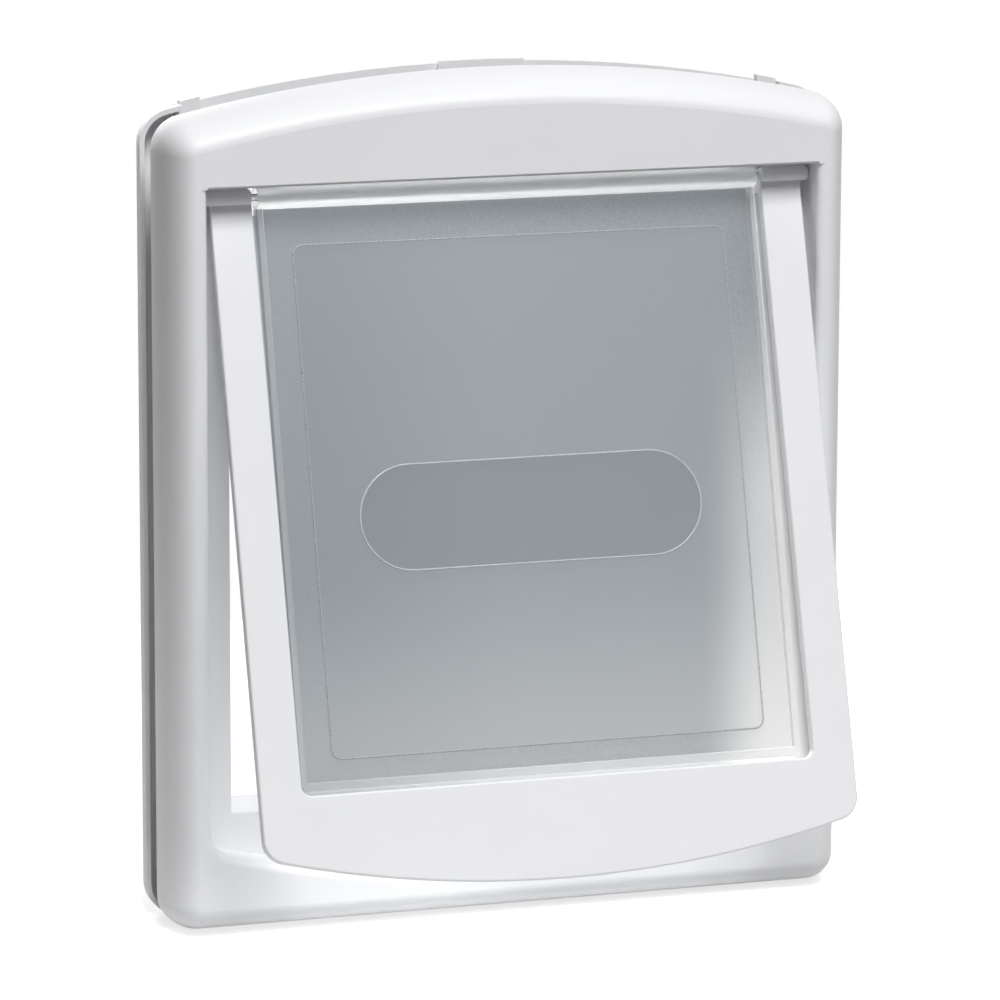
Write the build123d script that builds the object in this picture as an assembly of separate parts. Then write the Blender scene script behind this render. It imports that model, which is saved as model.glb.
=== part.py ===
"""Framed pet door with an outward-swinging surround and an inward-swinging window.

The front frame lies against one face of a door leaf and the rear frame against the other. Millimetres,
+X to the right seen from the front, +Y from the front towards the back, +Z up. The origin is the middle
of the front frame's height and width, on the plane of its rim, where the door leaf's face is.
"""

from build123d import *
import math
import os

# Frame outline, shared by both frames
FRAME_WIDTH = 294.0
FRAME_HEIGHT = 352.0
ARCH_RISE = 17.6
TOP_CORNER_RADIUS = 14.0
BOTTOM_CORNER_RADIUS = 14.0

# Front frame
FRONT_DEPTH = 27.0
FRONT_WALL = 2.5
EDGE_INSET = 12.5
SIDE_LAND = 16.5
TOP_LAND = 42.0
BOTTOM_LAND = 18.5
OPENING_CORNER_RADIUS = 12.0
OPENING_LIP_RADIUS = 3.0
TOP_LIP_HEIGHT = 3.0
TOP_LIP_DEPTH = 3.6
TOP_STEP_HEIGHT = 1.0
TOP_STEP_DEPTH = 0.8
RIB_THICKNESS = 1.8
RIB_PITCH = 50.0
RIB_SETBACK = 3.0

# Stop flange and tunnel
FLANGE_WIDTH = 13.0
FLANGE_THICKNESS = 3.0
FLANGE_EDGE_RADIUS = 1.2
SILL_RISE = 30.5
GUSSET_DROP = 8.0
TUNNEL_WALL = 2.2
TUNNEL_REACH = 15.0

# Rear frame, on the far side of the door leaf
LEAF_THICKNESS = 17.0
REAR_DEPTH = 10.0
REAR_WALL = 2.0
REAR_ROUND = 5.0
REAR_EDGE_RADIUS = 1.2
SLEEVE_GAP = 0.3
SLEEVE_OVERLAP = 10.0
NOTCH_INSET = 18.0
NOTCH_HEIGHT = 26.0
NOTCH_WEB = 1.5
POST_WIDTH = 8.3
POST_DEPTH = 4.0
POST_RISE = 1.0
BLOCK_WIDTH = 36.0
BLOCK_HEIGHT = 9.0
BLOCK_DEPTH = 3.0
BLOCK_SLANT = 3.0

# Screws between the frames
SCREW_INSET = 35.0
SCREW_TOP_DROP = 27.0
SCREW_BOTTOM_RISE = 16.0
SCREW_RADIUS = 2.0
SCREW_GRIP = 15.0
SCREW_HEAD_RADIUS = 4.0
SCREW_HEAD_DEPTH = 2.2
SCREW_RECESS_LENGTH = 4.4
SCREW_RECESS_WIDTH = 1.1
SCREW_RECESS_DEPTH = 1.2
SCREW_CLEARANCE = 0.3
THREAD_GAP = 0.03
BOSS_RADIUS = 4.8
BOSS_SETBACK = 0.5

# Hinge axis and how far the flap stands open
HINGE_DEPTH = 15.0
FLANGE_GAP = 0.4
HINGE_DROP = 6.0
SURROUND_ANGLE = 17.2
WINDOW_LAG_ANGLE = 1.6

# Surround
SIDE_GAP = 4.0
ARM_WIDTH = 17.5
SURROUND_THICKNESS = 5.2
SURROUND_WALL = 2.2
SURROUND_SKIN = 2.2
HOLLOW_TOP_DROP = 8.0
BOTTOM_BAND = 41.0
BOTTOM_ARC_RISE = 16.7
SURROUND_CORNER_RADIUS = 10.0
SURROUND_EDGE_RADIUS = 1.0
CUTOUT_CORNER_RADIUS = 4.0
SILL_GAP = 2.5
STUB_LENGTH = 8.5
STUB_CHAMFER = 0.5
SEAT_WALL = 2.0
SEAT_FLOOR = 1.5
RUNNING_GAP = 0.07
STUB_END_GAP = 0.5

# Window
WINDOW_GAP = 2.2
WINDOW_THICKNESS = 2.4
WINDOW_SETBACK = 2.0
WINDOW_BOTTOM_GAP = 1.6
WINDOW_CORNER_RADIUS = 3.0
BARREL_RADIUS = 4.8
BARREL_WALL = 0.8
BARREL_END_DEPTH = 10.0
RIM_WIDTH = 2.8
RIM_BOTTOM_WIDTH = 3.8
RIM_HEIGHT = 2.6
RIM_EDGE_RADIUS = 0.6
SEAL_WIDTH = 5.7
SEAL_THICKNESS = 1.5
SEAL_TOP_DROP = 7.0
PANEL_MARGIN = 14.5
PANEL_TOP_DROP = 20.0
PANEL_BOTTOM_MARGIN = 12.5
PANEL_CORNER_RADIUS = 4.0
PANEL_RISE = 0.3
PLATE_LENGTH = 146.0
PLATE_HEIGHT = 43.0
PLATE_DROP = 132.5
PLATE_RISE = 0.4
ROD_RADIUS = 1.5
ROD_SEAT = 13.0
ROD_HOLE_SPARE = 2.0
ROD_GAP = 0.05
ROD_CHAMFER = 0.3

# How far a cut runs past a face
OVERSHOOT = 1.0

# Widths, heights and depths that follow from the sizes above
HALF_HEIGHT = FRAME_HEIGHT / 2
ARCH_RADIUS = ((FRAME_WIDTH / 2) ** 2 + ARCH_RISE**2) / (2 * ARCH_RISE)
ARCH_CENTRE_Z = HALF_HEIGHT - ARCH_RADIUS
FRONT_Y = -FRONT_DEPTH
OPENING_TOP = HALF_HEIGHT - TOP_LAND
CEILING_Z = OPENING_TOP + TOP_LIP_HEIGHT
HINGE_Y = FRONT_Y + HINGE_DEPTH
HINGE_Z = OPENING_TOP - HINGE_DROP
FLANGE_FRONT = HINGE_Y + SURROUND_THICKNESS / 2 + FLANGE_GAP
FLANGE_BACK = FLANGE_FRONT + FLANGE_THICKNESS
OPENING_WIDTH = FRAME_WIDTH - 2 * SIDE_LAND
OPENING_BOTTOM = -HALF_HEIGHT + BOTTOM_LAND
FLAP_BOTTOM = OPENING_BOTTOM + SILL_GAP
PASSAGE_WIDTH = OPENING_WIDTH - 2 * FLANGE_WIDTH
PASSAGE_BOTTOM = OPENING_BOTTOM + SILL_RISE
REAR_RIM_Y = LEAF_THICKNESS
REAR_BACK_Y = REAR_RIM_Y + REAR_DEPTH
REAR_PLATE_Y = REAR_BACK_Y - REAR_WALL
SLEEVE_FRONT = TUNNEL_REACH - SLEEVE_OVERLAP
SURROUND_WIDTH = OPENING_WIDTH - 2 * SIDE_GAP
CUTOUT_WIDTH = SURROUND_WIDTH - 2 * ARM_WIDTH
WINDOW_WIDTH = CUTOUT_WIDTH - 2 * WINDOW_GAP
BOTTOM_ARC_RADIUS = ((SURROUND_WIDTH / 2) ** 2 + BOTTOM_ARC_RISE**2) / (2 * BOTTOM_ARC_RISE)
CUTOUT_DROP = HINGE_Z - FLAP_BOTTOM - BOTTOM_BAND
WINDOW_DROP = CUTOUT_DROP - WINDOW_BOTTOM_GAP
NOTCH_WIDTH = FRAME_WIDTH - 2 * NOTCH_INSET
BAR_RADIUS = SURROUND_THICKNESS / 2
HINGE_AXIS = Axis((0, HINGE_Y, HINGE_Z), (1, 0, 0))
SCREW_X = FRAME_WIDTH / 2 - SCREW_INSET
SCREW_HEIGHTS = (HALF_HEIGHT - SCREW_TOP_DROP, -HALF_HEIGHT + SCREW_BOTTOM_RISE)
SCREW_PLACES = [(side * SCREW_X, height) for side in (-1, 1) for height in SCREW_HEIGHTS]


def prism(sketch, front, back):
    """A front-view sketch carried from the depth front to the depth back."""
    plane = Plane((0, back, 0), x_dir=(1, 0, 0), z_dir=(0, -1, 0))
    return extrude(plane * sketch, amount=back - front)


def box_between(low, high):
    """A box from its lowest to its highest corner."""
    size = [top - bottom for bottom, top in zip(low, high)]
    middle = [(top + bottom) / 2 for bottom, top in zip(low, high)]
    return Pos(*middle) * Box(*size)


def rod_along_x(radius, start, end):
    """A round bar on the hinge axis."""
    middle = Pos((start + end) / 2, HINGE_Y, HINGE_Z)
    return middle * Rot(Y=90) * Cylinder(radius, abs(end - start))


def rod_along_y(radius, x, z, front, back):
    """A round bar through the frames, from the depth front to the depth back."""
    return Pos(x, (front + back) / 2, z) * Rot(X=90) * Cylinder(radius, back - front)


def rounded(sketch, corners, radius):
    """The sketch with the named corners rounded."""
    points = [Vector(*corner) for corner in corners]
    chosen = [v for v in sketch.vertices() if min((v.center() - p).length for p in points) < 0.01]
    return fillet(chosen, radius)


def arch_outline(inset):
    """The frame's outline, drawn in by an even inset."""
    half = FRAME_WIDTH / 2 - inset
    bottom = -HALF_HEIGHT + inset
    radius = ARCH_RADIUS - inset
    shoulder = ARCH_CENTRE_Z + math.sqrt(radius**2 - half**2)
    apex = ARCH_CENTRE_Z + radius
    edge = Polyline((half, shoulder), (half, bottom), (-half, bottom), (-half, shoulder))
    edge += ThreePointArc((-half, shoulder), (0, apex), (half, shoulder))
    sketch = make_face(edge)
    sketch = rounded(sketch, [(half, shoulder), (-half, shoulder)], TOP_CORNER_RADIUS - inset)
    return rounded(sketch, [(half, bottom), (-half, bottom)], BOTTOM_CORNER_RADIUS - inset)


def curved_bottom_outline(width, top, bottom, arc_radius, corner_radius):
    """A panel with a straight top and sides and a bottom edge that dips in the middle."""
    half = width / 2
    shoulder = bottom + arc_radius - math.sqrt(arc_radius**2 - half**2)
    edge = Polyline((-half, shoulder), (-half, top), (half, top), (half, shoulder))
    edge += ThreePointArc((half, shoulder), (0, bottom), (-half, shoulder))
    return rounded(make_face(edge), [(half, shoulder), (-half, shoulder)], corner_radius)


def opening_outline(top, margin):
    """The front opening, grown evenly by a margin at the sides and the bottom."""
    return curved_bottom_outline(
        OPENING_WIDTH + 2 * margin,
        top + margin,
        OPENING_BOTTOM - margin,
        BOTTOM_ARC_RADIUS + SILL_GAP + margin,
        OPENING_CORNER_RADIUS + margin,
    )


def passage(margin, front, back):
    """The square-cornered tunnel, grown evenly by a margin."""
    half = PASSAGE_WIDTH / 2 + margin
    return box_between((-half, front, PASSAGE_BOTTOM - margin), (half, back, OPENING_TOP + margin))


def front_block(inset):
    """The front frame's domed form as a full block, drawn in by an even inset and open to the back.

    A quarter of an ellipse runs round the outline, from the rim to the flat front.
    """
    path = Plane.XZ * arch_outline(inset).face().outer_wire()
    start = path @ 0
    frontward = Vector(0, -1, 0)
    inward = frontward.cross(path % 0)
    if inward.dot(start) > 0:
        inward = -inward
    across = EDGE_INSET - inset
    depth = FRONT_DEPTH - inset
    section = EllipticalCenterArc((across, 0), across, depth, start_angle=90, arc_size=90)
    section += Polyline((0, 0), (across, 0), (across, depth))
    plane = Plane(start, x_dir=inward, z_dir=inward.cross(frontward))
    edge = sweep(plane * make_face(section), path=path)
    return edge + prism(arch_outline(EDGE_INSET), FRONT_Y + inset, 0)


def rear_block(inset):
    """The rear frame's rounded form as a full block, drawn in by an even inset and open to the front."""
    block = prism(arch_outline(inset), REAR_RIM_Y, REAR_BACK_Y - inset)
    return fillet(block.edges().group_by(Axis.Y)[-1], REAR_ROUND - inset)


def front_ribs():
    """Stiffening ribs between the outer wall and the recess, trimmed to the hollow."""
    front = FRONT_Y
    back = -RIB_SETBACK
    half = FRAME_WIDTH / 2
    count = int((OPENING_TOP - PASSAGE_BOTTOM) / RIB_PITCH)
    middle = (OPENING_TOP + PASSAGE_BOTTOM) / 2
    bars = []
    for step in range(count):
        z = middle + (step - (count - 1) / 2) * RIB_PITCH
        bars.append(box_between((-half, front, z - RIB_THICKNESS / 2), (half, back, z + RIB_THICKNESS / 2)))
    for step in (-1, 0, 1):
        x = step * RIB_PITCH
        low = (x - RIB_THICKNESS / 2, front, -HALF_HEIGHT)
        high = (x + RIB_THICKNESS / 2, back, HALF_HEIGHT)
        bars.append(box_between(low, high))
    space = front_block(FRONT_WALL / 2)
    return [space & bar for bar in bars]


def hinge_seats():
    """Blind bosses in the hollow, behind the recess walls, for the ends of the surround's bars."""
    wall = OPENING_WIDTH / 2
    reach = SURROUND_WIDTH / 2 + STUB_LENGTH + STUB_END_GAP
    radius = BAR_RADIUS + RUNNING_GAP
    bosses = [rod_along_x(radius + SEAT_WALL, s * wall, s * (reach + SEAT_FLOOR)) for s in (-1, 1)]
    bores = [rod_along_x(radius, s * (wall - SIDE_GAP), s * reach) for s in (-1, 1)]
    return bosses, bores


def flange_gussets():
    """Small corner pieces of the stop flange, behind the tops of the surround's arms."""
    low = OPENING_TOP - GUSSET_DROP
    high = OPENING_TOP + TUNNEL_WALL
    pieces = []
    for side in (-1, 1):
        start, end = sorted((side * CUTOUT_WIDTH / 2, side * (PASSAGE_WIDTH / 2 + TUNNEL_WALL)))
        pieces.append(box_between((start, FLANGE_FRONT, low), (end, FLANGE_BACK, high)))
    return pieces


def make_front_frame():
    """The front moulding: shell, recess, stop flange, tunnel, screw bosses, ribs, gussets and hinge seats."""
    body = front_block(0) - front_block(FRONT_WALL)
    for rib in front_ribs():
        body += rib
    body += prism(opening_outline(CEILING_Z, FRONT_WALL), FRONT_Y + FRONT_WALL / 2, FLANGE_BACK)
    body += passage(TUNNEL_WALL, FLANGE_FRONT, TUNNEL_REACH)
    bosses, bores = hinge_seats()
    for boss in bosses:
        body += boss
    for x, z in SCREW_PLACES:
        body += rod_along_y(BOSS_RADIUS, x, z, FRONT_Y + FRONT_WALL / 2, -BOSS_SETBACK)
    body -= prism(opening_outline(OPENING_TOP, 0), FRONT_Y - FRONT_WALL, FLANGE_FRONT)
    body -= prism(opening_outline(CEILING_Z, 0), FRONT_Y + TOP_LIP_DEPTH, FLANGE_FRONT)
    body -= passage(0, FLANGE_FRONT - FRONT_WALL, TUNNEL_REACH + FRONT_WALL)
    for gusset in flange_gussets():
        body += gusset
    for bore in bores:
        body -= bore
    for x, z in SCREW_PLACES:
        body -= rod_along_y(SCREW_RADIUS + THREAD_GAP, x, z, -SCREW_GRIP - OVERSHOOT, OVERSHOOT)
    return round_front_edges(body)


def round_front_edges(body):
    """Softens the opening's lip and the edge of the stop flange, and steps the opening's top edge."""
    face = body.faces().filter_by(Axis.Y).sort_by(Axis.Y)[0]
    lip = face.inner_wires()[0].edges()
    top = lip.sort_by(Axis.Z)[-1]
    body = fillet([edge for edge in lip if edge is not top], OPENING_LIP_RADIUS)
    body = fillet(passage_edges(body, FLANGE_FRONT, 0), FLANGE_EDGE_RADIUS)
    half = OPENING_WIDTH / 2
    step_low = (-half, FRONT_Y - OVERSHOOT, OPENING_TOP - OVERSHOOT)
    step_high = (half, FRONT_Y + TOP_STEP_DEPTH, OPENING_TOP + TOP_STEP_HEIGHT)
    return body - box_between(step_low, step_high)


def passage_edges(body, depth, margin):
    """The edges round the passage at one depth, where it is grown by a margin."""
    half = PASSAGE_WIDTH / 2 + margin
    low = PASSAGE_BOTTOM - margin
    middle = (low + OPENING_TOP + margin) / 2
    places = [Vector(-half, depth, middle), Vector(half, depth, middle), Vector(0, depth, low)]
    return [edge for edge in body.edges() if min((edge.center() - place).length for place in places) < 0.1]


def make_rear_frame():
    """The rear moulding: a tray with a sleeve over the tunnel and a notch along its top wall."""
    inner = TUNNEL_WALL + SLEEVE_GAP
    body = rear_block(0) - rear_block(REAR_WALL)
    body -= top_band(-NOTCH_WIDTH / 2, NOTCH_WIDTH / 2, REAR_DEPTH - REAR_WALL, NOTCH_HEIGHT, POST_RISE)
    for piece in notch_pieces():
        body += piece
    body += passage(inner + REAR_WALL, SLEEVE_FRONT, REAR_PLATE_Y)
    for x, z in SCREW_PLACES:
        body += rod_along_y(BOSS_RADIUS, x, z, REAR_RIM_Y + BOSS_SETBACK, REAR_PLATE_Y)
    body -= passage(inner, SLEEVE_FRONT - OVERSHOOT, REAR_BACK_Y + OVERSHOOT)
    for x, z in SCREW_PLACES:
        body -= rod_along_y(SCREW_RADIUS + SCREW_CLEARANCE, x, z, REAR_RIM_Y, REAR_BACK_Y + OVERSHOOT)
        body -= screw_head(x, z, SCREW_CLEARANCE)
    return fillet(passage_edges(body, REAR_BACK_Y, inner), REAR_EDGE_RADIUS)


def top_band(start, end, depth, height, rise):
    """A stretch of the space under the arch, against the rear frame's back plate."""
    low = HALF_HEIGHT - height
    front = REAR_PLATE_Y - depth
    stretch = box_between((start, front, low), (end, REAR_PLATE_Y, HALF_HEIGHT + rise))
    return prism(arch_outline(-rise), front, REAR_PLATE_Y) & stretch


def notch_pieces():
    """What stands in the notch: a web and a post at each end, and the slant-ended block in the middle."""
    half = NOTCH_WIDTH / 2
    pieces = []
    for side in (-1, 1):
        web = sorted((side * half, side * (half + NOTCH_WEB)))
        post = sorted((side * half, side * (half - POST_WIDTH)))
        pieces.append(top_band(*web, REAR_DEPTH - REAR_WALL, NOTCH_HEIGHT, 0))
        pieces.append(top_band(*post, POST_DEPTH, NOTCH_HEIGHT, POST_RISE))
    narrow = BLOCK_WIDTH / 2
    wide = narrow + BLOCK_SLANT
    low = HALF_HEIGHT - BLOCK_HEIGHT
    slanted = Polyline((-wide, low), (wide, low), (narrow, HALF_HEIGHT), (-narrow, HALF_HEIGHT), close=True)
    block = prism(make_face(slanted), REAR_PLATE_Y - BLOCK_DEPTH, REAR_PLATE_Y)
    pieces.append(block & prism(arch_outline(0), REAR_RIM_Y, REAR_BACK_Y))
    return pieces


def screw_head(x, z, gap):
    """A countersunk head, flush with the rear frame's back, grown by a gap."""
    cone = Cone(SCREW_RADIUS + gap, SCREW_HEAD_RADIUS + gap, SCREW_HEAD_DEPTH)
    return Pos(x, REAR_BACK_Y - SCREW_HEAD_DEPTH / 2, z) * Rot(X=-90) * cone


def make_screw(x, z):
    """One screw from the rear frame's back into the front frame's boss."""
    body = rod_along_y(SCREW_RADIUS, x, z, -SCREW_GRIP, REAR_BACK_Y - SCREW_HEAD_DEPTH)
    body += screw_head(x, z, 0)
    for turn in (0, 90):
        slot = Box(SCREW_RECESS_LENGTH, 2 * SCREW_RECESS_DEPTH, SCREW_RECESS_WIDTH)
        body -= Pos(x, REAR_BACK_Y, z) * Rot(Y=turn) * slot
    return body


def cutout_outline(margin):
    """The surround's cut-out for the window, grown evenly by a margin."""
    half = CUTOUT_WIDTH / 2 + margin
    low = HINGE_Z - CUTOUT_DROP - margin
    high = HINGE_Z + OVERSHOOT
    hole = make_face(Polyline((-half, low), (half, low), (half, high), (-half, high), close=True))
    return rounded(hole, [(-half, low), (half, low)], CUTOUT_CORNER_RADIUS + margin)


def surround_hollow():
    """The space behind the surround's skin, divided by cross ribs."""
    outline = curved_bottom_outline(
        SURROUND_WIDTH - 2 * SURROUND_WALL,
        HINGE_Z - HOLLOW_TOP_DROP,
        FLAP_BOTTOM + SURROUND_WALL,
        BOTTOM_ARC_RADIUS - SURROUND_WALL,
        SURROUND_CORNER_RADIUS - SURROUND_WALL,
    )
    front = HINGE_Y - SURROUND_THICKNESS / 2 + SURROUND_SKIN
    back = HINGE_Y + SURROUND_THICKNESS / 2 + OVERSHOOT
    space = prism(outline - cutout_outline(SURROUND_WALL), front, back)
    half = SURROUND_WIDTH / 2
    low = HINGE_Z - CUTOUT_DROP
    for step in range(1, int(CUTOUT_DROP / RIB_PITCH) + 1):
        z = HINGE_Z - step * RIB_PITCH
        space -= box_between((-half, front, z - RIB_THICKNESS / 2), (half, back, z + RIB_THICKNESS / 2))
    for step in (-2, -1, 0, 1, 2):
        left = step * RIB_PITCH - RIB_THICKNESS / 2
        space -= box_between((left, front, FLAP_BOTTOM), (left + RIB_THICKNESS, back, low))
    return space


def make_surround():
    """The U-shaped moulding with a bar across each arm's top that runs on into the frame's seat."""
    outline = curved_bottom_outline(
        SURROUND_WIDTH, HINGE_Z, FLAP_BOTTOM, BOTTOM_ARC_RADIUS, SURROUND_CORNER_RADIUS
    )
    front = HINGE_Y - SURROUND_THICKNESS / 2
    back = HINGE_Y + SURROUND_THICKNESS / 2
    half = CUTOUT_WIDTH / 2
    body = prism(outline - cutout_outline(0), front, back)
    faces = body.faces().filter_by(Axis.Y).sort_by(Axis.Y)
    edges = [edge for edge in faces[0].edges() + faces[-1].edges() if edge.center().Z < HINGE_Z - OVERSHOOT]
    body = fillet(edges, SURROUND_EDGE_RADIUS) - surround_hollow()
    for side in (-1, 1):
        outer = side * SURROUND_WIDTH / 2
        bar = rod_along_x(BAR_RADIUS, side * half, outer + side * STUB_LENGTH)
        body += chamfer(bar.edges().sort_by(Axis.X)[-1 if side > 0 else 0], STUB_CHAMFER)
        seat_end = half + ROD_SEAT + ROD_HOLE_SPARE
        body -= rod_along_x(ROD_RADIUS + ROD_GAP, side * (half - OVERSHOOT), side * seat_end)
    return body


def make_window():
    """The frosted plate with its barrel, raised rim, seal flange, raised panel and bare plate."""
    half = WINDOW_WIDTH / 2
    low = HINGE_Z - WINDOW_DROP
    face = HINGE_Y + WINDOW_SETBACK
    back = face + WINDOW_THICKNESS
    outline = Pos(0, (HINGE_Z + low) / 2) * Rectangle(2 * half, HINGE_Z - low)
    outline = rounded(outline, [(-half, low), (half, low)], WINDOW_CORNER_RADIUS)
    body = prism(outline, face - RIM_HEIGHT, back)
    tray_top = HINGE_Z + BARREL_RADIUS
    tray_low = low + RIM_BOTTOM_WIDTH
    tray = Pos(0, (tray_top + tray_low) / 2) * Rectangle(2 * (half - RIM_WIDTH), tray_top - tray_low)
    body -= prism(tray, face - RIM_HEIGHT - OVERSHOOT, face)
    rim = body.faces().filter_by(Axis.Y).sort_by(Axis.Y)[0]
    body = fillet([edge for edge in rim.edges() if edge.center().Z < HINGE_Z - OVERSHOOT], RIM_EDGE_RADIUS)
    seal_low = low - SEAL_WIDTH
    seal_top = HINGE_Z - SEAL_TOP_DROP
    seal = Pos(0, (seal_top + seal_low) / 2) * Rectangle(2 * (half + SEAL_WIDTH), seal_top - seal_low)
    seal = rounded(
        seal,
        [(-half - SEAL_WIDTH, seal_low), (half + SEAL_WIDTH, seal_low)],
        WINDOW_CORNER_RADIUS + SEAL_WIDTH / 2,
    )
    body += prism(seal, back - SEAL_THICKNESS, back)
    panel_top = HINGE_Z - PANEL_TOP_DROP
    panel_low = low + PANEL_BOTTOM_MARGIN
    panel = Pos(0, (panel_top + panel_low) / 2) * RectangleRounded(
        2 * (half - PANEL_MARGIN), panel_top - panel_low, PANEL_CORNER_RADIUS
    )
    body += prism(panel, face - PANEL_RISE, face)
    plate = Pos(0, HINGE_Z - PLATE_DROP) * SlotOverall(PLATE_LENGTH, PLATE_HEIGHT)
    body += prism(plate, face - PANEL_RISE - PLATE_RISE, face)
    body += rod_along_x(BARREL_RADIUS, -half, half)
    body -= rod_along_x(ROD_RADIUS + RUNNING_GAP, -half - OVERSHOOT, half + OVERSHOOT)
    for side in (-1, 1):
        inner = side * (half - BARREL_END_DEPTH)
        body -= rod_along_x(BARREL_RADIUS - BARREL_WALL, inner, side * (half + OVERSHOOT))
    return body


def make_rod():
    """The hinge rod through the window's barrel, with an end in each arm's bar."""
    reach = CUTOUT_WIDTH / 2 + ROD_SEAT
    body = rod_along_x(ROD_RADIUS, -reach, reach)
    return chamfer(body.edges().filter_by(GeomType.CIRCLE), ROD_CHAMFER)


def swung_out(shape, angle):
    """A flap piece turned about the hinge axis, with its lower edge towards the front."""
    return shape.rotate(HINGE_AXIS, -angle)


nodes = {
    "front_frame": make_front_frame(),
    "rear_frame": make_rear_frame(),
    "frame_screws": Compound([make_screw(x, z) for x, z in SCREW_PLACES]),
    "flap_surround": swung_out(make_surround(), SURROUND_ANGLE),
    "flap_window": swung_out(make_window(), SURROUND_ANGLE - WINDOW_LAG_ANGLE),
    "hinge_rod": make_rod(),
}

os.makedirs("parts", exist_ok=True)
for name, shape in nodes.items():
    export_step(shape, f"parts/{name}.step")
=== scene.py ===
"""Dresses a framed pet door: satin white mouldings, a frosted window and bright steel, in a white studio.

Metres, in the part's own frame: +X to the right seen from the front, +Y from the front towards the back,
+Z up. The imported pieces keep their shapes. The surround gets a proud bar across the top of each arm, and
the window gets fine raised beads round its panel and its plate.
"""

from __future__ import annotations

import logging
import math
from collections.abc import Iterable
from dataclasses import dataclass
from enum import Enum

import bmesh
import bpy
from mathutils import Matrix, Vector


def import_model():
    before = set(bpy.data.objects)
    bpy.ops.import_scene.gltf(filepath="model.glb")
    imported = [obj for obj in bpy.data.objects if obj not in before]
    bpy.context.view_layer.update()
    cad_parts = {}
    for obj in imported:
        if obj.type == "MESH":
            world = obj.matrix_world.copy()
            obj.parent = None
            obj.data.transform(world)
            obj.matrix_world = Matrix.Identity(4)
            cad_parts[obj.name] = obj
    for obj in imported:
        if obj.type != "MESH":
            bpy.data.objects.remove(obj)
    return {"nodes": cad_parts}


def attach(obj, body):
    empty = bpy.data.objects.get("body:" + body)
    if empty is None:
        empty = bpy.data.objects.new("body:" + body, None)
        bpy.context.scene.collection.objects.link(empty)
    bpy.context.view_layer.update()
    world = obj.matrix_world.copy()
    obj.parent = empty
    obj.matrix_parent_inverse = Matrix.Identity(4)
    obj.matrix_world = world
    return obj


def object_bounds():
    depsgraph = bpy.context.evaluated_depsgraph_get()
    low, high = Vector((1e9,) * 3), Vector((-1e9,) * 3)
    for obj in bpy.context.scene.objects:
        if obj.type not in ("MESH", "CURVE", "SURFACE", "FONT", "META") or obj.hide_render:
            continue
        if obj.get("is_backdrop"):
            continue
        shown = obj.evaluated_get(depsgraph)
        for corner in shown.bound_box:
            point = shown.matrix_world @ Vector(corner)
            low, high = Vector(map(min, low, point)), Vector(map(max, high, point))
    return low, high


LOG = logging.getLogger("pet_door")
SHARP_ANGLE = 1.0

Colour = tuple[float, float, float]
Point = tuple[float, float, float]
Socket = bpy.types.NodeSocket


class Body(Enum):
    """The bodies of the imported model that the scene's own pieces ride on."""

    SURROUND = "surround"
    WINDOW = "window"


class Slot(Enum):
    """The record's material slots that the scene's own pieces belong to."""

    WHITE = "white_plastic"
    FROSTED = "frosted_plastic"


class Side(Enum):
    """The surround's two arms, by the sign of their place across."""

    LEFT = -1.0
    RIGHT = 1.0


class Rounding(Enum):
    """What a bevel rounds off."""

    EDGES = "EDGES"
    CORNERS = "VERTICES"


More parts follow.
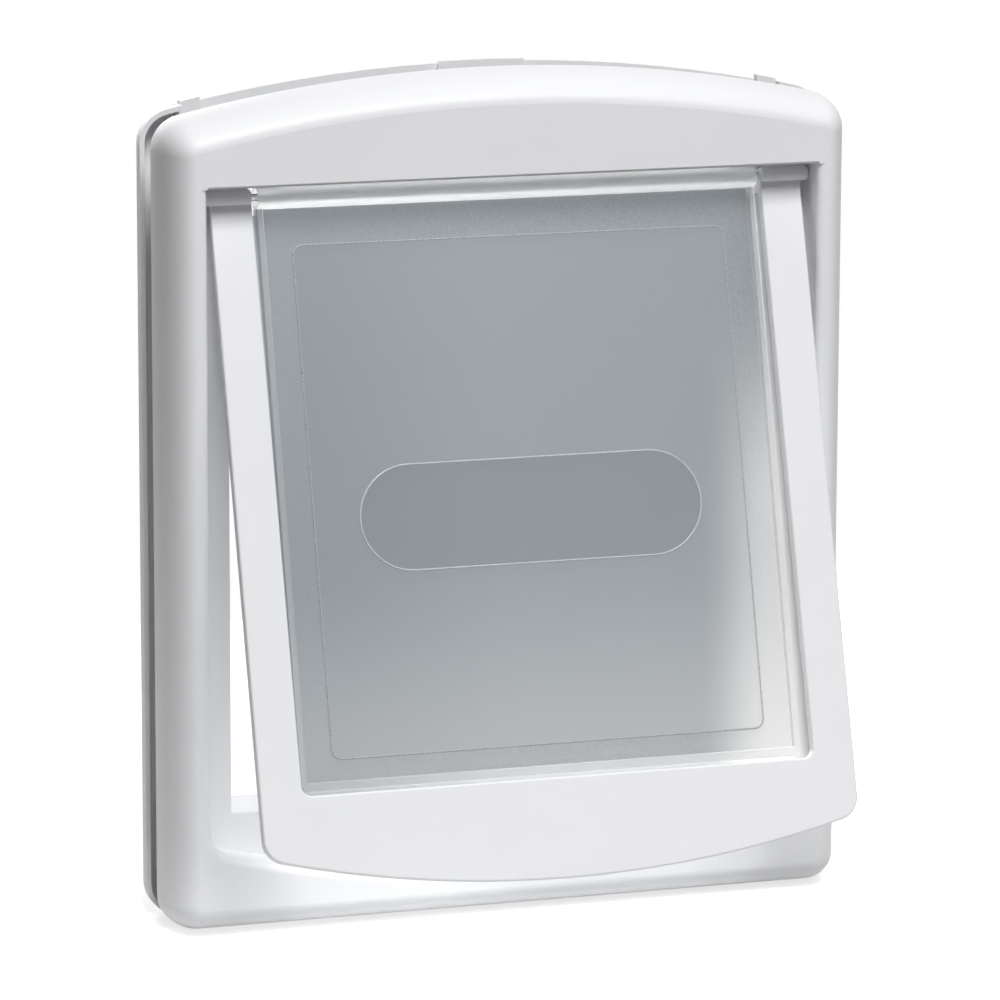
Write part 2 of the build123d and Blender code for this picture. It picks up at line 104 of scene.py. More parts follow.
class NodeBoard:
    """A node tree, with short calls for adding and joining nodes."""

    def __init__(self, tree: bpy.types.NodeTree) -> None:
        """Start with an empty tree.

        Args:
            tree: The node tree of a material or a world.
        """
        self.tree = tree
        self.tree.nodes.clear()

    def add(self, kind: str, **settings: object) -> bpy.types.Node:
        """Add one node.

        Args:
            kind: Blender's class name for the node.
            settings: Properties to set on it.

        Returns:
            The new node.
        """
        node = self.tree.nodes.new(kind)
        for key, value in settings.items():
            setattr(node, key, value)
        return node

    def join(self, source: Socket, target: Socket) -> None:
        """Link an output socket to an input socket."""
        self.tree.links.new(source, target)

    def fill(self, target: Socket, value: Socket | float) -> None:
        """Give an input socket a link or a plain value.

        Args:
            target: The input socket.
            value: The socket to link, or the number to set.
        """
        if isinstance(value, (int, float)):
            target.default_value = value
        else:
            self.join(value, target)

    def paint(self, target: Socket, colour: Colour | Socket) -> None:
        """Give an input socket a plain colour or a link.

        Args:
            target: The input socket.
            colour: The colour to set, or the socket to link.
        """
        if isinstance(colour, tuple):
            target.default_value = (*colour, 1.0)
        else:
            self.join(colour, target)

    def sum(self, operation: str, *values: Socket | float) -> Socket:
        """Work out one sum.

        Args:
            operation: The sum's name in Blender, such as ADD.
            values: Its terms.

        Returns:
            The result's socket.
        """
        node = self.add("ShaderNodeMath", operation=operation)
        for target, value in zip(node.inputs, values):
            self.fill(target, value)
        return node.outputs["Value"]

    def noise(self, scale: float, detail: float) -> Socket:
        """Add a noise pattern on object coordinates.

        Args:
            scale: Cells to the metre.
            detail: Octaves of finer noise.

        Returns:
            The pattern's value socket.
        """
        place = self.add("ShaderNodeTexCoord")
        pattern = self.add("ShaderNodeTexNoise")
        pattern.inputs["Scale"].default_value = scale
        pattern.inputs["Detail"].default_value = detail
        self.join(place.outputs["Object"], pattern.inputs["Vector"])
        return pattern.outputs["Fac"]

    def spread(
        self, value: Socket, low: float, high: float, start: float = 0.3, end: float = 0.7
    ) -> Socket:
        """Map a value smoothly to a range.

        Args:
            value: The socket to map.
            low: The result at the start.
            high: The result at the end.
            start: The value that gives the low result.
            end: The value that gives the high result.

        Returns:
            The mapped socket.
        """
        ranger = self.add("ShaderNodeMapRange", interpolation_type="SMOOTHSTEP")
        ranger.inputs["From Min"].default_value = start
        ranger.inputs["From Max"].default_value = end
        ranger.inputs["To Min"].default_value = low
        ranger.inputs["To Max"].default_value = high
        self.join(value, ranger.inputs["Value"])
        return ranger.outputs["Result"]

    def choose(self, factor: Socket, first: Socket | float, second: Socket | float) -> Socket:
        """Go from one number to another.

        Args:
            factor: 0 for the first number, 1 for the second.
            first: The first number.
            second: The second number.

        Returns:
            The mixed number's socket.
        """
        mixer = self.add("ShaderNodeMix", data_type="FLOAT")
        self.join(factor, mixer.inputs["Factor"])
        self.fill(mixer.inputs["A"], first)
        self.fill(mixer.inputs["B"], second)
        return mixer.outputs["Result"]

    def blend(self, factor: Socket, first: Colour | Socket, second: Colour | Socket) -> Socket:
        """Mix two colours.

        Args:
            factor: How much of the second colour shows.
            first: The colour at factor 0.
            second: The colour at factor 1.

        Returns:
            The mixed colour's socket.
        """
        mixer = self.add("ShaderNodeMix", data_type="RGBA")
        self.join(factor, mixer.inputs["Factor"])
        self.paint(mixer.inputs["A"], first)
        self.paint(mixer.inputs["B"], second)
        return mixer.outputs["Result"]

    def bump(self, height: Socket, depth: float) -> Socket:
        """Turn a height pattern into a normal.

        Args:
            height: The pattern.
            depth: Its height in metres.

        Returns:
            The normal socket.
        """
        node = self.add("ShaderNodeBump")
        node.inputs["Strength"].default_value = 1.0
        node.inputs["Distance"].default_value = depth
        self.join(height, node.inputs["Height"])
        return node.outputs["Normal"]

    def backdrop(self, rest: float, white: float) -> Socket:
        """Give the strength of a backdrop that is white to the eye, to a mirror and through glass.

        Args:
            rest: The strength that lights the object.
            white: The strength that is seen.

        Returns:
            The strength's socket.
        """
        path = self.add("ShaderNodeLightPath")
        direct = self.sum("MAXIMUM", path.outputs["Is Camera Ray"], path.outputs["Is Glossy Ray"])
        seen = self.sum("MAXIMUM", direct, path.outputs["Is Transmission Ray"])
        return self.sum("MULTIPLY_ADD", seen, white - rest, rest)


def material_board(name: str) -> tuple[bpy.types.Material, NodeBoard, Socket]:
    """Start a material.

    Args:
        name: The material's name.

    Returns:
        The material, its board and its output's surface socket.
    """
    material = bpy.data.materials.new(name)
    material.use_nodes = True
    board = NodeBoard(material.node_tree)
    surface = board.add("ShaderNodeOutputMaterial").inputs["Surface"]
    return material, board, surface


def tinted(colour: Colour, factor: float) -> Colour:
    """Give a colour made lighter or darker by a factor."""
    return tuple(min(1.0, channel * factor) for channel in colour)


@dataclass(frozen=True)
class SatinMoulding:
    """White injection-moulded plastic: a smooth satin skin with a faint spark-eroded grain."""

    name: str = "white_moulding"
    colour: Colour = (0.832, 0.836, 0.85)
    roughness: float = 0.42
    smoother: float = 0.04
    rougher: float = 0.05
    specular: float = 0.25
    grain_cells: float = 2600.0
    grain_detail: float = 3.0
    grain_depth: float = 0.000012
    cloud_cells: float = 14.0
    cloud_detail: float = 2.0
    cloud_tint: float = 0.985

    def material(self) -> bpy.types.Material:
        """Build the finish.

        Returns:
            The new material.
        """
        material, board, surface = material_board(self.name)
        shader = board.add("ShaderNodeBsdfPrincipled")
        shader.inputs["Specular IOR Level"].default_value = self.specular
        clouds = board.spread(board.noise(self.cloud_cells, self.cloud_detail), 0.0, 1.0)
        skin = board.blend(clouds, tinted(self.colour, self.cloud_tint), self.colour)
        board.join(skin, shader.inputs["Base Color"])
        grain = board.noise(self.grain_cells, self.grain_detail)
        dull = board.spread(grain, self.roughness - self.smoother, self.roughness + self.rougher)
        board.join(dull, shader.inputs["Roughness"])
        board.join(board.bump(grain, self.grain_depth), shader.inputs["Normal"])
        board.join(shader.outputs["BSDF"], surface)
        return material


@dataclass(frozen=True)
class BrightSteel:
    """Zinc-bright steel with fine drawn streaks."""

    name: str = "bright_steel"
    colour: Colour = (0.62, 0.63, 0.65)
    roughness: float = 0.3
    smoother: float = 0.06
    rougher: float = 0.08
    streak_cells: float = 900.0
    streak_detail: float = 3.0
    streak_depth: float = 0.000006
    streak_tint: float = 0.9

    def material(self) -> bpy.types.Material:
        """Build the finish.

        Returns:
            The new material.
        """
        material, board, surface = material_board(self.name)
        shader = board.add("ShaderNodeBsdfPrincipled")
        shader.inputs["Metallic"].default_value = 1.0
        streaks = board.noise(self.streak_cells, self.streak_detail)
        skin = board.blend(streaks, tinted(self.colour, self.streak_tint), self.colour)
        board.join(skin, shader.inputs["Base Color"])
        dull = board.spread(streaks, self.roughness - self.smoother, self.roughness + self.rougher)
        board.join(dull, shader.inputs["Roughness"])
        board.join(board.bump(streaks, self.streak_depth), shader.inputs["Normal"])
        board.join(shader.outputs["BSDF"], surface)
        return material


@dataclass(frozen=True)
class PaintedHighlightBead:
    """Plastic of the fine raised lines on the window, with a pale colour that is a painted highlight along
    them.
    """

    name: str
    colour: Colour
    roughness: float = 0.3
    roughness_swing: float = 0.05
    clearness: float = 0.2
    cloud_cells: float = 220.0
    cloud_tint: float = 0.94
    grain_cells: float = 1800.0
    detail: float = 2.0

    def material(self) -> bpy.types.Material:
        """Build the finish.

        Returns:
            The new material.
        """
        material, board, surface = material_board(self.name)
        shader = board.add("ShaderNodeBsdfPrincipled")
        shader.inputs["Transmission Weight"].default_value = self.clearness
        clouds = board.spread(board.noise(self.cloud_cells, self.detail), 0.0, 1.0)
        skin = board.blend(clouds, tinted(self.colour, self.cloud_tint), self.colour)
        board.join(skin, shader.inputs["Base Color"])
        grain = board.noise(self.grain_cells, self.detail)
        low, high = self.roughness - self.roughness_swing, self.roughness + self.roughness_swing
        board.join(board.spread(grain, low, high), shader.inputs["Roughness"])
        board.join(shader.outputs["BSDF"], surface)
        return material


@dataclass(frozen=True)
class Frosting:
    """The colour and the roughness of one area of the frosted window."""

    colour: Colour
    roughness: float


@dataclass(frozen=True)
class RoundedArea:
    """An area of the window with rounded corners, measured from the hinge axis down."""

    half_width: float
    half_height: float
    drop: float
    radius: float

    def mask(self, board: NodeBoard, across: Socket, up: Socket) -> Socket:
        """Tell where the area is.

        Args:
            board: The material's node tree.
            across: The place across the window.
            up: The height over the hinge axis.

        Returns:
            A socket that is 1 inside the area and 0 outside.
        """
        sideways = board.sum("SUBTRACT", board.sum("ABSOLUTE", across), self.half_width - self.radius)
        height = board.sum("ABSOLUTE", board.sum("ADD", up, self.drop))
        upright = board.sum("SUBTRACT", height, self.half_height - self.radius)
        wide = board.sum("POWER", board.sum("MAXIMUM", sideways, 0.0), 2.0)
        tall = board.sum("POWER", board.sum("MAXIMUM", upright, 0.0), 2.0)
        return board.sum("LESS_THAN", board.sum("ADD", wide, tall), self.radius**2)


@dataclass(frozen=True)
class WindowChart:
    """The sockets that tell where on the window a point lies."""

    across: Socket
    up: Socket
    in_barrel: Socket
    in_sheet: Socket
    in_panel: Socket
    in_plate: Socket


@dataclass(frozen=True)
class FrostedSheet:
    """Smoke-grey plastic with a frosted skin: grained along its border, finer on the panel and the plate.

    Painted shade darkens it towards the left, and painted light makes it paler and less clear towards the
    right and the bottom. The right-hand painted light starts and ends at shares of the width, and grows
    with the drop from the hinge axis.
    """

    hinge: Point
    turn: float
    width: float
    barrel_drop: float
    sheet_area: RoundedArea
    panel_area: RoundedArea
    plate_area: RoundedArea
    name: str = "frosted_window"
    rim: Frosting = Frosting((0.52, 0.53, 0.54), 0.40)
    # The barrel's near-white colour is painted light, standing in for light on the barrel in the shadow of
    # the frame's top lip.
    barrel: Frosting = Frosting((0.91, 0.915, 0.92), 0.60)
    border: Frosting = Frosting((0.275, 0.30, 0.32), 0.48)
    panel: Frosting = Frosting((0.295, 0.32, 0.34), 0.40)
    plate: Frosting = Frosting((0.25, 0.275, 0.295), 0.36)
    # Painted shade: a darker colour blended in towards the left of the window.
    painted_shade_colour: Colour = (0.205, 0.23, 0.25)
    # Painted light: a pale, less clear frosting blended in towards the right and the bottom.
    painted_light_colour: Colour = (0.805, 0.80, 0.795)
    rim_clearness: float = 0.75
    barrel_clearness: float = 0.70
    sheet_clearness: float = 0.74
    painted_light_clearness: float = 0.20
    painted_shade_share: float = 0.6
    right_light_share: float = 0.62
    right_lean: float = -0.1
    right_start: float = 0.40
    right_end: float = 0.55
    right_top_drop: float = 0.03
    right_full_drop: float = 0.14
    bottom_light_share: float = 0.24
    bottom_top_drop: float = 0.15
    bottom_full_drop: float = 0.24
    grain_cells: float = 1300.0
    grain_detail: float = 4.0
    grain_depth: float = 0.00008
    grain_roughness: float = 0.04
    panel_grain: float = 0.25
    speckle: float = 0.15
    refraction: float = 1.49

    def material(self) -> bpy.types.Material:
        """Build the finish.

        Returns:
            The new material.
        """
        material, board, surface = material_board(self.name)
        shader = board.add("ShaderNodeBsdfPrincipled")
        shader.inputs["IOR"].default_value = self.refraction
        chart = self.chart(board)
        grain = board.noise(self.grain_cells, self.grain_detail)
        painted_light_share = self.painted_light_share(board, chart)
        # Painted light: the pale colour blends in towards the right and the bottom.
        tint = board.blend(painted_light_share, self.tint(board, chart, grain), self.painted_light_colour)
        board.join(tint, shader.inputs["Base Color"])
        # Painted light also lowers the clearness towards the right and the bottom.
        clear = board.choose(painted_light_share, self.clearness(board, chart), self.painted_light_clearness)
        board.join(clear, shader.inputs["Transmission Weight"])
        board.join(self.dullness(board, chart, grain), shader.inputs["Roughness"])
        strength = board.choose(chart.in_panel, 1.0, self.panel_grain)
        height = board.sum("MULTIPLY", grain, board.sum("MULTIPLY", chart.in_sheet, strength))
        board.join(board.bump(height, self.grain_depth), shader.inputs["Normal"])
        board.join(shader.outputs["BSDF"], surface)
        return material

    def chart(self, board: NodeBoard) -> WindowChart:
        """Measure across and up the window from its hinge axis, and tell its areas apart.

        Args:
            board: The material's node tree.

        Returns:
            The sockets of the places and the areas.
        """
        place = board.add("ShaderNodeTexCoord")
        mapping = board.add("ShaderNodeMapping", vector_type="TEXTURE")
        mapping.inputs["Location"].default_value = self.hinge
        mapping.inputs["Rotation"].default_value = (self.turn, 0.0, 0.0)
        board.join(place.outputs["Object"], mapping.inputs["Vector"])
        axes = board.add("ShaderNodeSeparateXYZ")
        board.join(mapping.outputs["Vector"], axes.inputs["Vector"])
        across, up = axes.outputs["X"], axes.outputs["Z"]
        return WindowChart(
            across=across,
            up=up,
            in_barrel=board.sum("GREATER_THAN", up, -self.barrel_drop),
            in_sheet=self.sheet_area.mask(board, across, up),
            in_panel=self.panel_area.mask(board, across, up),
            in_plate=self.plate_area.mask(board, across, up),
        )

    def tint(self, board: NodeBoard, chart: WindowChart, grain: Socket) -> Socket:
        """Colour each area, with painted shade that darkens it towards the left.

        Args:
            board: The material's node tree.
            chart: Where a point lies.
            grain: The frosting's grain.

        Returns:
            The socket of the colour without the painted light.
        """
        dark = tinted(self.border.colour, 1.0 - self.speckle)
        light = tinted(self.border.colour, 1.0 + self.speckle)
        speckled = board.blend(board.spread(grain, 0.0, 1.0), dark, light)
        tint = board.blend(chart.in_sheet, self.rim.colour, speckled)
        tint = board.blend(chart.in_panel, tint, self.panel.colour)
        tint = board.blend(chart.in_plate, tint, self.plate.colour)
        # Painted shade darkens the window towards the left.
        left = board.spread(chart.across, self.painted_shade_share, 0.0, -self.width / 2, 0.0)
        tint = board.blend(left, tint, self.painted_shade_colour)
        # The barrel's near-white colour is painted light.
        return board.blend(chart.in_barrel, tint, self.barrel.colour)

    def clearness(self, board: NodeBoard, chart: WindowChart) -> Socket:
        """Let each area pass its share of the light.

        Args:
            board: The material's node tree.
            chart: Where a point lies.

        Returns:
            The socket of the clearness without the painted light.
        """
        clear = board.choose(chart.in_barrel, self.rim_clearness, self.barrel_clearness)
        return board.choose(chart.in_sheet, clear, self.sheet_clearness)

    def dullness(self, board: NodeBoard, chart: WindowChart, grain: Socket) -> Socket:
        """Give each area its roughness, varied by the grain.

        Args:
            board: The material's node tree.
            chart: Where a point lies.
            grain: The frosting's grain.

        Returns:
            The socket of the roughness.
        """
        dull = board.choose(chart.in_barrel, self.rim.roughness, self.barrel.roughness)
        dull = board.choose(chart.in_sheet, dull, self.border.roughness)
        dull = board.choose(chart.in_panel, dull, self.panel.roughness)
        dull = board.choose(chart.in_plate, dull, self.plate.roughness)
        swing = board.spread(grain, -self.grain_roughness, self.grain_roughness)
        return board.sum("ADD", dull, swing)

    def painted_light_share(self, board: NodeBoard, chart: WindowChart) -> Socket:
        """Paint light that makes the window paler and less clear towards the right and the bottom.

        Args:
            board: The material's node tree.
            chart: Where a point lies.

        Returns:
            The socket of the painted light's share.
        """
        lean = board.sum("MULTIPLY_ADD", chart.up, self.right_lean, chart.across)
        start, end = self.width * self.right_start, self.width * self.right_end
        right = board.spread(lean, 0.0, self.right_light_share, start, end)
        down = board.sum("MULTIPLY", chart.up, -1.0)
        grown = board.spread(down, 0.0, 1.0, self.right_top_drop, self.right_full_drop)
        bottom = board.spread(down, 0.0, self.bottom_light_share, self.bottom_top_drop, self.bottom_full_drop)
        return board.sum("ADD", board.sum("MULTIPLY", right, grown), bottom)


def put_finish(node: bpy.types.Object, material: bpy.types.Material) -> None:
    """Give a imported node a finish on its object's own slot.

    Args:
        node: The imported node.
        material: Its finish.
    """
    slot = node.material_slots[0]
    slot.link = "OBJECT"
    slot.material = material
    LOG.info("%s wears %s", node.name, material.name)


def new_piece(
    name: str, form: bmesh.types.BMesh, body: Body, material: bpy.types.Material
) -> bpy.types.Object:
    """Make an object from a finished bmesh and let it ride on a body.

    Args:
        name: The piece's name.
        form: The shape, in its place; it is freed.
        body: The body that carries the piece.
        material: Its finish.

    Returns:
        The new object.
    """
    for face in form.faces:
        face.smooth = True
    mesh = bpy.data.meshes.new(name)
    form.to_mesh(mesh)
    form.free()
    piece = bpy.data.objects.new(name, mesh)
    bpy.context.scene.collection.objects.link(piece)
    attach(piece, body.value)
    mesh.materials.append(material)
    LOG.info("%s has %d faces", name, len(mesh.polygons))
    return piece


def sharp_edges(edges: Iterable[bmesh.types.BMEdge]) -> list[bmesh.types.BMEdge]:
    """Pick the edges that two faces meet at with a clear turn."""
    return [edge for edge in edges if edge.calc_face_angle(0.0) > SHARP_ANGLE]


def round_off(
    form: bmesh.types.BMesh,
    geometry: list[bmesh.types.BMEdge] | list[bmesh.types.BMVert],
    rounding: Rounding,
    radius: float,
    segments: int,
) -> None:
    """Round edges or corners of a shape.

    Args:
        form: The shape.
        geometry: Its edges or its corners.
        rounding: Which of the two they are.
        radius: How far in the rounding starts.
        segments: Steps along the rounding.
    """
    bmesh.ops.bevel(
        form,
        geom=geometry,
        offset=radius,
        offset_type="OFFSET",
        segments=segments,
        profile=0.5,
        affect=rounding.value,
        material=-1,
    )


@dataclass(frozen=True)
class SharedHinge:
    """The axis that the surround and the window both swing on."""

    place: Point = (0.0, -0.012, 0.128)

    def swung(self, angle: float) -> Matrix:
        """Give the move from a shut flap at the origin to the flap on its hinge, open by an angle."""
        return Matrix.Translation(Vector(self.place)) @ Matrix.Rotation(-angle, 4, "X")


@dataclass(frozen=True)
class Frames:
    """The front frame and the rear frame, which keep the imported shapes."""

    names: tuple[str, ...] = ("front_frame", "rear_frame")

    def dress(self, nodes: dict[str, bpy.types.Object], white: bpy.types.Material) -> None:
        """Give both frames their satin skin."""
        for name in self.names:
            put_finish(nodes[name], white)


@dataclass(frozen=True)
class Fastenings:
    """The hinge rod and the frame's screws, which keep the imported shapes."""

    names: tuple[str, ...] = ("hinge_rod", "frame_screws")

    def dress(self, nodes: dict[str, bpy.types.Object], steel: bpy.types.Material) -> None:
        """Give the fastenings their steel."""
        for name in self.names:
            put_finish(nodes[name], steel)


@dataclass(frozen=True)
class FlapSurround:
    """The swinging surround, with a round bar that stands proud across the top of each arm."""

    name: str = "flap_surround"
    hinge: SharedHinge = SharedHinge()
    swing: float = math.radians(17.2)
    bar_radius: float = 0.0032
    bar_forward: float = 0.0020
    bar_start: float = 0.1092
    bar_end: float = 0.1298
    bar_round: float = 0.0012
    bar_round_segments: int = 4
    bar_sides: int = 40

    def dress(self, nodes: dict[str, bpy.types.Object], white: bpy.types.Material) -> None:
        """Give the surround its satin skin and its bars.

        Args:
            nodes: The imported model's nodes.
            white: The mouldings' finish.
        """
        put_finish(nodes[self.name], white)
        for side in Side:
            name = f"{side.name.lower()}_bar"
            new_piece(name, self.bar(side), Body.SURROUND, white)

    def bar(self, side: Side) -> bmesh.types.BMesh:
        """Shape one bar and bring it to its place on the swung surround.

        Args:
            side: The arm that it lies across.

        Returns:
            The bar's shape.
        """
        form = bmesh.new()
        bmesh.ops.create_cone(
            form,
            cap_ends=True,
            segments=self.bar_sides,
            radius1=self.bar_radius,
            radius2=self.bar_radius,
            depth=self.bar_end - self.bar_start,
        )
        round_off(form, sharp_edges(form.edges), Rounding.EDGES, self.bar_round, self.bar_round_segments)
        middle = side.value * (self.bar_start + self.bar_end) / 2
        along = Matrix.Translation((middle, -self.bar_forward, 0.0)) @ Matrix.Rotation(math.pi / 2, 4, "Y")
        bmesh.ops.transform(form, matrix=self.hinge.swung(self.swing) @ along, verts=form.verts)
        return form


@dataclass(frozen=True)
class FlapWindow:
    """The frosted window, with a fine bead round its panel and round its bare plate.

    Drops are measured from the hinge axis down, and rises from the window's face outwards.
    """

    name: str = "flap_window"
    hinge: SharedHinge = SharedHinge()
    swing: float = math.radians(15.6)
    width: float = 0.2136
    drop: float = 0.2404
    face_back: float = 0.0020
    rim_width: float = 0.0028
    rim_foot: float = 0.0038
    barrel_radius: float = 0.0048
    sheet_radius: float = 0.0002
    panel_margin: float = 0.0145
    panel_top_drop: float = 0.0200
    panel_bottom_margin: float = 0.0125
    panel_radius: float = 0.0040
    panel_rise: float = 0.0003
    plate_length: float = 0.1460
    plate_height: float = 0.0430
    plate_drop: float = 0.1325
    plate_rise: float = 0.0004
    bead_width: float = 0.0006
    bead_rise: float = 0.00015
    bead_sink: float = 0.00035
    bead_round: float = 0.00018
    bead_round_segments: int = 2
    corner_segments: int = 10
    fullest_corner: float = 0.9999
    merge_distance: float = 0.00003
    level_tolerance: float = 1e-7
    # The beads' pale colours are painted highlights along the window's fine steps.
    panel_bead: PaintedHighlightBead = PaintedHighlightBead("faint_painted_highlight", (0.50, 0.52, 0.535))
    plate_bead: PaintedHighlightBead = PaintedHighlightBead("bright_painted_highlight", (0.68, 0.70, 0.72))

    @property
    def sheet_area(self) -> RoundedArea:
        """The flat sheet inside the rims, below the barrel.

        Returns:
            The sheet's outline.
        """
        height = self.drop - self.barrel_radius - self.rim_foot
        middle = self.barrel_radius + height / 2
        return RoundedArea(self.width / 2 - self.rim_width, height / 2, middle, self.sheet_radius)

    @property
    def panel_area(self) -> RoundedArea:
        """The raised panel.

        Returns:
            The panel's outline.
        """
        height = self.drop - self.panel_top_drop - self.panel_bottom_margin
        middle = self.panel_top_drop + height / 2
        return RoundedArea(self.width / 2 - self.panel_margin, height / 2, middle, self.panel_radius)

    @property
    def plate_area(self) -> RoundedArea:
        """The bare plate with round ends."""
        half = self.plate_height / 2
        return RoundedArea(self.plate_length / 2, half, self.plate_drop, half)

    def dress(self, nodes: dict[str, bpy.types.Object]) -> None:
        """Frost the window, let light through it and lay its beads.

        Args:
            nodes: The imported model's nodes.
        """
        frosting = FrostedSheet(
            hinge=self.hinge.place,
            turn=-self.swing,
            width=self.width,
            barrel_drop=self.barrel_radius,
            sheet_area=self.sheet_area,
            panel_area=self.panel_area,
            plate_area=self.plate_area,
        )
        node = nodes[self.name]
        put_finish(node, frosting.material())
        node.visible_shadow = False
        plate_face = self.panel_rise + self.plate_rise
        self.lay_bead("window_panel_bead", self.panel_area, self.panel_rise, self.panel_bead)
        self.lay_bead("window_plate_bead", self.plate_area, plate_face, self.plate_bead)

    def lay_bead(self, name: str, area: RoundedArea, rise: float, finish: PaintedHighlightBead) -> None:
        """Lay a fine raised line round an area of the window.

        Args:
            name: The bead's name.
            area: The area that the bead goes round.
            rise: How far the area stands out from the window's face.
            finish: The bead's plastic, whose pale colour is a painted highlight.
        """
        form = self.flat_ring(area)
        self.thicken(form, self.bead_rise + self.bead_sink)
        upright = Matrix.Rotation(math.pi / 2, 4, "X")
        shut = Matrix.Translation((0.0, self.face_back - rise + self.bead_sink, -area.drop))
        bmesh.ops.transform(form, matrix=self.hinge.swung(self.swing) @ shut @ upright, verts=form.verts)
        new_piece(name, form, Body.WINDOW, finish.material())

    def flat_ring(self, area: RoundedArea) -> bmesh.types.BMesh:
        """Draw a bead's ring, flat at the origin, with the area's edge along its middle.

        Args:
            area: The area that the ring goes round.

        Returns:
            The flat ring.
        """
        form = bmesh.new()
        bmesh.ops.create_grid(form, x_segments=1, y_segments=1, size=1.0)
        grown = self.bead_width / 2
        half = Vector((area.half_width + grown, area.half_height + grown, 1.0))
        bmesh.ops.scale(form, vec=half, verts=form.verts)
        corner = min(area.radius + grown, half.y * self.fullest_corner)
        round_off(form, form.verts[:], Rounding.CORNERS, corner, self.corner_segments)
        bmesh.ops.remove_doubles(form, verts=form.verts, dist=self.merge_distance)
        ring = bmesh.ops.inset_region(
            form, faces=form.faces[:], thickness=self.bead_width, use_boundary=True, use_even_offset=True
        )
        middle = [face for face in form.faces if face not in ring["faces"]]
        bmesh.ops.delete(form, geom=middle, context="FACES")
        return form

    def thicken(self, form: bmesh.types.BMesh, height: float) -> None:
        """Carry a flat ring up to a height and round its upper edges.

        Args:
            form: The flat ring.
            height: The bead's full height.
        """
        raised = bmesh.ops.extrude_face_region(form, geom=form.faces[:], use_keep_orig=True)["geom"]
        corners = [item for item in raised if isinstance(item, bmesh.types.BMVert)]
        bmesh.ops.translate(form, vec=(0.0, 0.0, height), verts=corners)
        bmesh.ops.recalc_face_normals(form, faces=form.faces)
        floor = height - self.level_tolerance
        upper = [edge for edge in form.edges if all(corner.co.z > floor for corner in edge.verts)]
        round_off(form, sharp_edges(upper), Rounding.EDGES, self.bead_round, self.bead_round_segments)


@dataclass(frozen=True)
class Camera:
    """The camera at the photograph's viewing angle."""

    place: Point = (-0.72839, -2.24287, 0.47231)
    pan: float = 0.3145
    tilt: float = 0.1997
    roll: float = 0.0030
    focal_pixels: float = 5802.1
    picture_pixels: float = 1000.0
    sensor: float = 36.0
    far: float = 20.0

    def build(self) -> bpy.types.Object:
        """Make the camera and look through it.

        Returns:
            The camera object.
        """
        data = bpy.data.cameras.new("camera")
        data.sensor_width = self.sensor
        data.sensor_fit = "HORIZONTAL"
        data.lens = self.focal_pixels / self.picture_pixels * self.sensor
        data.clip_end = self.far
        camera = bpy.data.objects.new("camera", data)
        bpy.context.scene.collection.objects.link(camera)
        turn = Matrix.Rotation(-self.pan, 4, "Z") @ Matrix.Rotation(math.pi / 2 - self.tilt, 4, "X")
        level = turn @ Matrix.Rotation(self.roll, 4, "Z")
        camera.matrix_world = Matrix.Translation(Vector(self.place)) @ level
        bpy.context.scene.camera = camera
        return camera


@dataclass(frozen=True)
class SoftBox:
    """One soft studio lamp, given by its bearing from the front, its height angle and its distance.

    Angles are in degrees and power is in watts. A bearing to the left is negative.
    """

    name: str
    bearing: float
    climb: float
    distance: float
    width: float
    height: float
    power: float
    target: Point = (0.0, 0.0, 0.0)
    spread: float = 180.0

    def build(self) -> bpy.types.Object:
        """Make the lamp.

        Returns:
            The lamp object.
        """
        data = bpy.data.lights.new(self.name, "AREA")
        data.shape = "RECTANGLE"
        data.size = self.width
        data.size_y = self.height
        data.energy = self.power
        data.spread = math.radians(self.spread)
        lamp = bpy.data.objects.new(self.name, data)
        bpy.context.scene.collection.objects.link(lamp)
        turn = Matrix.Rotation(math.radians(self.bearing), 4, "Z")
        lift = Matrix.Rotation(math.radians(90.0 - self.climb), 4, "X")
        out = Matrix.Translation((0.0, 0.0, self.distance))
        lamp.matrix_world = Matrix.Translation(Vector(self.target)) @ turn @ lift @ out
        return lamp


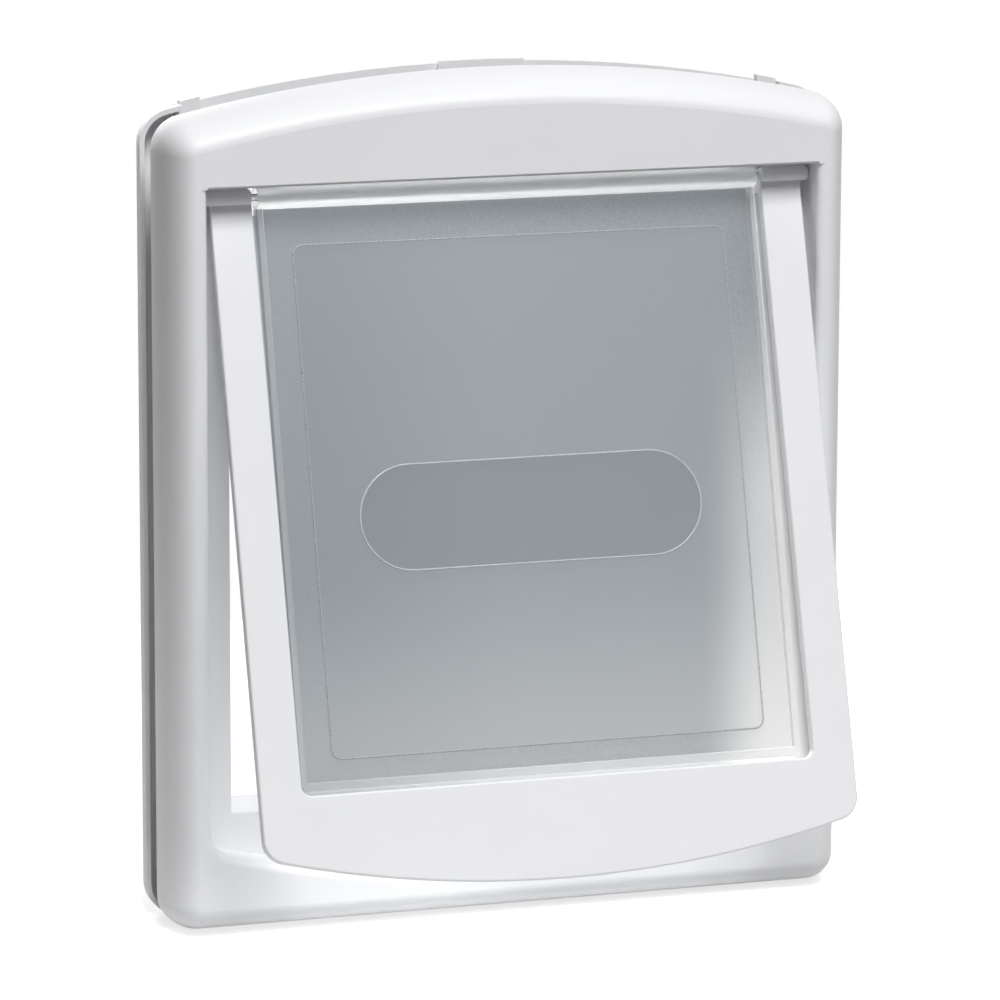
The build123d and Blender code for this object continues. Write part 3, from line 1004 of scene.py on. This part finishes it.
@dataclass(frozen=True)
class Studio:
    """A white studio: pale floor, white surround and soft lamps."""

    floor_size: float = 1.1
    floor_colour: Colour = (0.75, 0.75, 0.75)
    floor_glow: float = 0.70
    ambient: float = 0.04
    lamps: tuple[SoftBox, ...] = (
        SoftBox("key", bearing=-6.0, climb=57.0, distance=2.8, width=1.0, height=1.0, power=55.5),
        SoftBox("second", bearing=20.0, climb=57.0, distance=2.8, width=1.0, height=1.0, power=24.8),
        SoftBox("left_fill", bearing=-10.0, climb=4.0, distance=3.0, width=1.5, height=1.5, power=0.8),
        SoftBox("right_fill", bearing=15.0, climb=4.0, distance=3.0, width=1.5, height=1.5, power=1.0),
        SoftBox("back", bearing=-173.0, climb=12.0, distance=3.0, width=1.5, height=1.5, power=40.0),
        SoftBox(
            "skirt",
            bearing=-8.0,
            climb=1.5,
            distance=0.5,
            width=0.16,
            height=0.02,
            power=0.0030,
            target=(-0.085, 0.0, -0.168),
            spread=8.0,
        ),
    )

    def build(self, floor_height: float) -> None:
        """Make the floor, the surround and the lamps.

        Args:
            floor_height: The height that the object stands on.
        """
        self.lay_floor(floor_height)
        self.fill_sky()
        for lamp in self.lamps:
            lamp.build()
        bpy.context.scene.view_settings.view_transform = "Standard"

    def lay_floor(self, height: float) -> None:
        """Lay the floor, which is white to the eye and keeps a soft shadow.

        Args:
            height: The floor's height.
        """
        form = bmesh.new()
        bmesh.ops.create_grid(form, x_segments=1, y_segments=1, size=self.floor_size / 2)
        bmesh.ops.translate(form, vec=(0.0, 0.0, height), verts=form.verts)
        mesh = bpy.data.meshes.new("floor")
        form.to_mesh(mesh)
        form.free()
        floor = bpy.data.objects.new("floor", mesh)
        bpy.context.scene.collection.objects.link(floor)
        mesh.materials.append(self.floor_material())
        floor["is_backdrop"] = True

    def floor_material(self) -> bpy.types.Material:
        """Build the floor's finish.

        Returns:
            The new material.
        """
        material, board, surface = material_board("floor_white")
        matt = board.add("ShaderNodeBsdfDiffuse")
        board.paint(matt.inputs["Color"], self.floor_colour)
        glow = board.add("ShaderNodeEmission")
        board.join(board.backdrop(0.0, self.floor_glow), glow.inputs["Strength"])
        both = board.add("ShaderNodeAddShader")
        board.join(matt.outputs["BSDF"], both.inputs[0])
        board.join(glow.outputs["Emission"], both.inputs[1])
        board.join(both.outputs["Shader"], surface)
        return material

    def fill_sky(self) -> None:
        """Light the room evenly, and show it white to the eye, to a mirror and through glass."""
        world = bpy.data.worlds.new("studio")
        world.use_nodes = True
        board = NodeBoard(world.node_tree)
        light = board.add("ShaderNodeBackground")
        light.inputs["Color"].default_value = (1.0, 1.0, 1.0, 1.0)
        board.join(board.backdrop(self.ambient, 1.0), light.inputs["Strength"])
        board.join(light.outputs["Background"], board.add("ShaderNodeOutputWorld").inputs["Surface"])
        bpy.context.scene.world = world


def main() -> None:
    """Dress each piece and build the studio."""
    logging.basicConfig(level=logging.INFO, format="%(name)s: %(message)s")
    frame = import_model()
    cad_low, cad_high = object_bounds()
    nodes = frame["nodes"]
    white = SatinMoulding().material()
    Frames().dress(nodes, white)
    FlapSurround().dress(nodes, white)
    Fastenings().dress(nodes, BrightSteel().material())
    FlapWindow().dress(nodes)
    Studio().build(cad_low.z)
    Camera().build()


if __name__ == "__main__":
    main()
